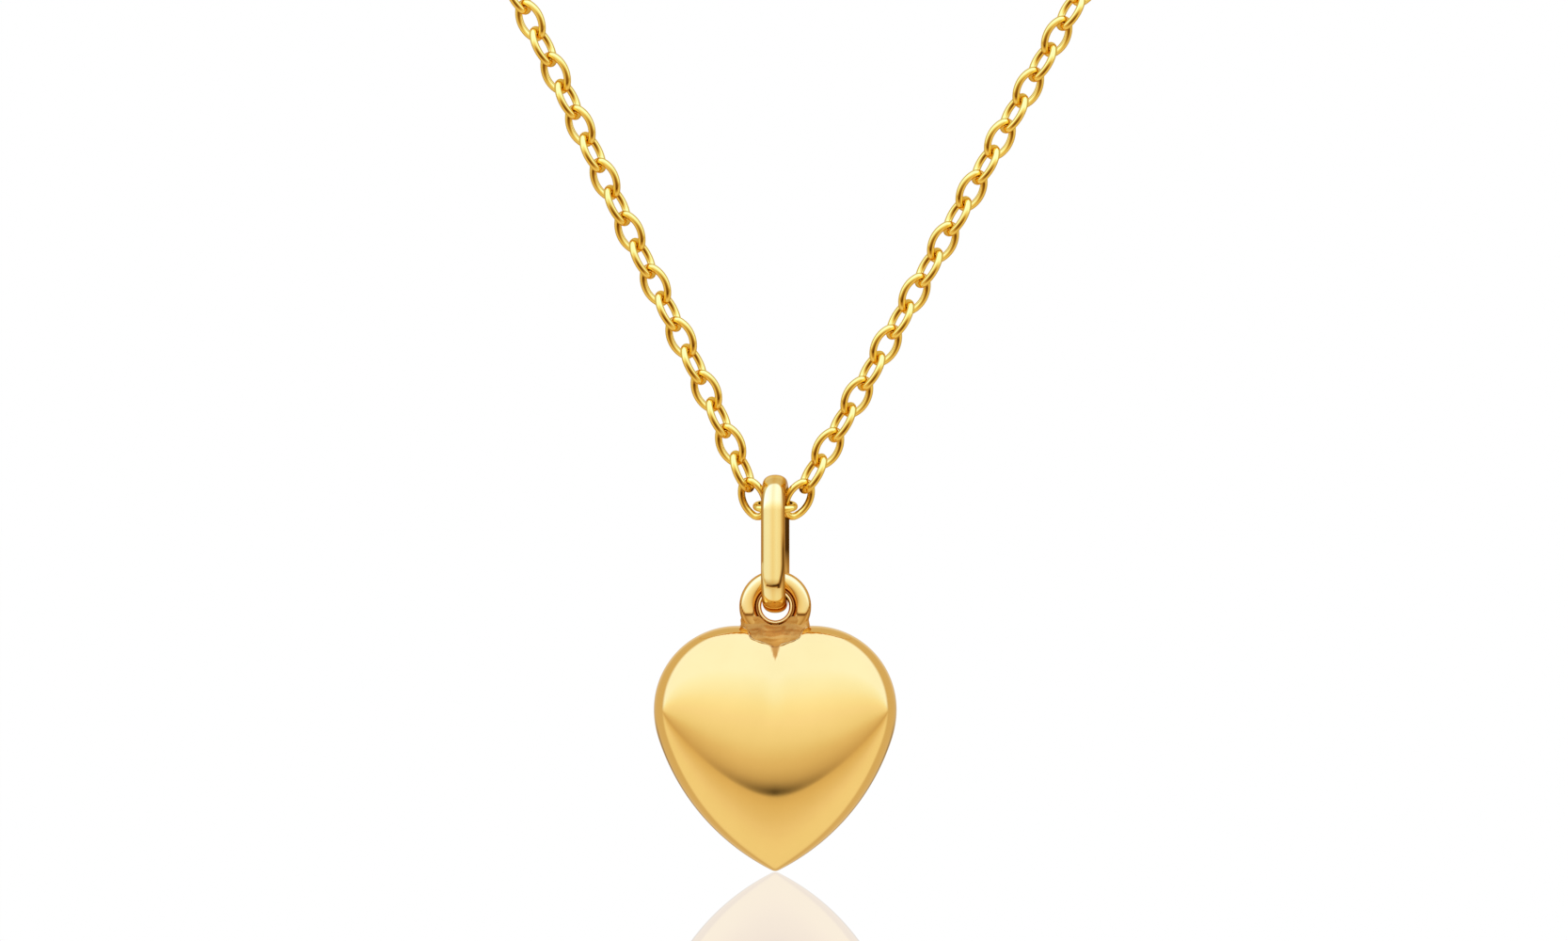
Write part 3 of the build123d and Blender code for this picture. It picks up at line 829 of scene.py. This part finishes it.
# ---- Spring in the clasp ---------------------------------------------------------------
CLASP_MIDDLE = Vector(joints["bolt_slide"]["pos_m"])
CASE_RADIUS = 2.10                               # of the bent tube's middle line
SPRING_TAIL = math.radians(-252.6)               # angles about the clasp, from +X towards +Z
SPRING_HEAD = math.radians(-147.2)
SPRING_WIRE_RADIUS = 0.045
COIL_RADIUS = 0.30                               # of the wire's middle line
COIL_TURNS = 8


def at_case(angle, radius, y=0.0):
    """A place at an angle about the clasp, in millimetres from its middle."""
    return Vector((radius * math.cos(angle), y, radius * math.sin(angle)))


def spring_line(share):
    """Middle line of the spring's wire, wound about the middle line of the bent tube."""
    angle = SPRING_TAIL + (SPRING_HEAD - SPRING_TAIL) * share
    wound = 2 * math.pi * COIL_TURNS * share
    return at_case(angle, CASE_RADIUS + COIL_RADIUS * math.cos(wound), COIL_RADIUS * math.sin(wound))


def spring_piece(steps=320, around=10):
    """Coil wound from the case at its tail to the bolt at its head."""
    points = []
    for step in range(steps + 1):
        middle = spring_line(step / steps)
        forwards = (spring_line((step + 0.5) / steps) - spring_line((step - 0.5) / steps)).normalized()
        sideways = forwards.cross(Vector((middle.x, 0, middle.z))).normalized()
        upwards = forwards.cross(sideways)
        for turn in range(around):
            angle = 2 * math.pi * turn / around
            spot = middle + (sideways * math.cos(angle) + upwards * math.sin(angle)) * SPRING_WIRE_RADIUS
            points.append(CLASP_MIDDLE + spot * MM)
    faces = ring_faces(steps + 1, around, closed=False) + end_faces(steps + 1, around)
    coil = piece("spring_coil", points, faces, None, SPRING_STEEL, "clasp_spring")
    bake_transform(coil)


spring_piece()


# ---- Clasp and jump rings: they keep the CAD's shape ------------------------------------
for part in frame["record"]["subparts"]:
    if part["material_slot"] == "clasp_gold":
        finishes = frame["nodes"][part["node"]].data.materials
        finishes.clear()
        finishes.append(CLASP_GOLD)


# ---- Floor and light -------------------------------------------------------------------
WHITE = (1.0, 1.0, 1.0)
FLOOR_MIRROR = 0.35
FLOOR_HALF_SIZE = 4.0            # metres
FLOOR_DROP = 0.02                # millimetres under the heart's point


def floor():
    """Pale floor just under the heart's point, with a weak mirror reflection."""
    made, nodes, links, shader = material("floor_white", WHITE, 0.0)
    nodes.remove(shader)
    white = nodes.new("ShaderNodeEmission")
    white.inputs["Color"].default_value = (*WHITE, 1)
    mirror = nodes.new("ShaderNodeBsdfGlossy")
    mirror.inputs["Color"].default_value = (*WHITE, 1)
    mirror.inputs["Roughness"].default_value = 0.0
    mix = nodes.new("ShaderNodeMixShader")
    mix.inputs["Fac"].default_value = FLOOR_MIRROR
    links.new(white.outputs["Emission"], mix.inputs[1])
    links.new(mirror.outputs["BSDF"], mix.inputs[2])
    links.new(mix.outputs["Shader"], nodes["Material Output"].inputs["Surface"])
    size, level = FLOOR_HALF_SIZE, HEART_POINT.z - mm(FLOOR_DROP)
    corners = [(-size, -size, level), (size, -size, level), (size, size, level), (-size, size, level)]
    mesh = bpy.data.meshes.new("floor")
    mesh.from_pydata(corners, [], [(0, 1, 2, 3)])
    mesh.materials.append(made)
    plane = bpy.data.objects.new("floor", mesh)
    bpy.context.scene.collection.objects.link(plane)
    plane.visible_glossy = False


floor()

# What the gold reflects, by the angle about the X axis: 0 is level towards the camera, 90 straight up.
# The softbox overhead is cool and bright; the white table in front starts below the dark gap at -24.
FRONT = [
    (-130, (0.72, 0.67, 0.60)),
    (-95, (0.93, 0.98, 1.08)),
    (-70, (0.93, 0.98, 1.08)),
    (-55, (0.92, 0.95, 1.04)),
    (-45, (0.885, 0.88, 0.95)),
    (-37, (0.825, 0.79, 0.77)),
    (-31, (0.785, 0.72, 0.63)),
    (-27, (0.735, 0.65, 0.53)),
    (-24.5, (0.66, 0.56, 0.46)),
    (-22, (0.66, 0.57, 0.48)),
    (-18, (0.71, 0.64, 0.57)),
    (-12, (0.80, 0.76, 0.73)),
    (-8, (0.86, 0.88, 0.91)),
    (-5, (0.91, 0.97, 1.08)),
    (0, (0.96, 1.05, 1.24)),
    (5, (1.00, 1.10, 1.40)),
    (9, (1.02, 1.17, 1.49)),
    (14, (1.04, 1.25, 1.72)),
    (20, (1.04, 1.33, 2.13)),
    (26, (1.05, 1.40, 2.44)),
    (35, (1.06, 1.46, 2.90)),
    (95, (1.06, 1.46, 2.98)),
    (130, (0.75, 0.70, 0.64)),
]
# How dark the gap under the softbox is, by the same angle: soft above, sharp at the table's edge.
GAP = [
    (-26.4, 0.0),
    (-25.2, 0.95),
    (-24.2, 0.95),
    (-23.1, 0.76),
    (-21.5, 0.46),
    (-19.8, 0.22),
    (-18.0, 0.10),
    (-15.0, 0.0),
]
GAP_REACH = 0.74                 # sideways reach of the gap
GAP_COLOUR = (0.010, 0.008, 0.006)
BAND = (0.70, 0.64, 0.58)        # what lies beside the object
BAND_EDGE = (-0.14, 0.02)        # how far back the band begins and is full, as parts of a direction
BAND_RISE = (0.32, -0.15)        # how the band's edge bends, by the height squared and the height
BACK_EDGE = (0.55, 0.80)         # where the band gives way to what lies behind
BEHIND = [
    (-90, (0.84, 0.84, 0.88)),
    (-40, (0.80, 0.78, 0.80)),
    (-22, (0.66, 0.60, 0.52)),
    (-15, (0.30, 0.25, 0.19)),
    (-6, (0.62, 0.58, 0.54)),
    (15, (0.78, 0.76, 0.76)),
    (50, (0.88, 0.92, 1.05)),
    (90, (0.80, 0.78, 0.80)),
]
EDGE_LIFT = 3.6                  # degrees by which the table's edge rises towards the sides


def studio():
    """White surround behind the object, and what its gold reflects."""
    world = bpy.data.worlds.new("studio")
    bpy.context.scene.world = world
    world.use_nodes = True
    nodes, links = world.node_tree.nodes, world.node_tree.links
    background = nodes["Background"]
    where = nodes.new("ShaderNodeTexCoord")
    split = nodes.new("ShaderNodeSeparateXYZ")
    links.new(where.outputs["Generated"], split.inputs["Vector"])
    x, y, z = split.outputs["X"], split.outputs["Y"], split.outputs["Z"]

    def maths(operation, first, second=None):
        node = nodes.new("ShaderNodeMath")
        node.operation = operation
        for socket, value in zip(node.inputs, (first, second)):
            if isinstance(value, (int, float)):
                socket.default_value = value
            elif value is not None:
                links.new(value, socket)
        return node.outputs["Value"]

    def between(value, low, high, smooth=True):
        node = nodes.new("ShaderNodeMapRange")
        node.interpolation_type = "SMOOTHSTEP" if smooth else "LINEAR"
        node.inputs["From Min"].default_value = low
        node.inputs["From Max"].default_value = high
        links.new(value, node.inputs["Value"])
        return node.outputs["Result"]

    def by_angle(degrees, stops):
        turn = between(degrees, -180, 180, smooth=False)
        placed = [((angle + 180) / 360, colour) for angle, colour in stops]
        return colour_ramp(nodes, links, turn, placed)

    def blend(factor, first, second):
        node = nodes.new("ShaderNodeMix")
        node.data_type = "RGBA"
        links.new(factor, node.inputs["Factor"])
        for number, value in ((MIX_FIRST, first), (MIX_SECOND, second)):
            if isinstance(value, tuple):
                node.inputs[number].default_value = (*value, 1)
            else:
                links.new(value, node.inputs[number])
        return node.outputs[MIX_RESULT]

    def degrees_about_x(up, along):
        return maths("MULTIPLY", maths("ARCTAN2", up, along), 180 / math.pi)

    sideways = maths("ABSOLUTE", x)
    ahead = degrees_about_x(z, maths("MULTIPLY", y, -1.0))
    edge = maths("SUBTRACT", ahead, maths("MULTIPLY", maths("MULTIPLY", x, x), EDGE_LIFT))
    front = by_angle(edge, FRONT)
    reach = maths("POWER", between(sideways, GAP_REACH, 0.0, smooth=False), 1.25)
    gap = by_angle(edge, [(angle, (depth, depth, depth)) for angle, depth in GAP])
    front = blend(maths("MULTIPLY", gap, reach), front, GAP_COLOUR)

    square, straight = BAND_RISE
    rise = maths("MULTIPLY", maths("MULTIPLY", z, z), square)
    rise = maths("ADD", rise, maths("MULTIPLY", z, straight))
    beside = maths("SUBTRACT", y, rise)
    around_edge = blend(between(beside, *BAND_EDGE), front, BAND)
    behind = by_angle(degrees_about_x(z, y), BEHIND)
    whole = blend(between(y, *BACK_EDGE), around_edge, behind)

    path = nodes.new("ShaderNodeLightPath")
    plain = maths("MAXIMUM", path.outputs["Is Camera Ray"], path.outputs["Is Singular Ray"])
    seen = blend(plain, whole, WHITE)
    links.new(seen, background.inputs["Color"])
    background.inputs["Strength"].default_value = 1.0


studio()
scene = bpy.context.scene
scene.view_settings.view_transform = "Standard"
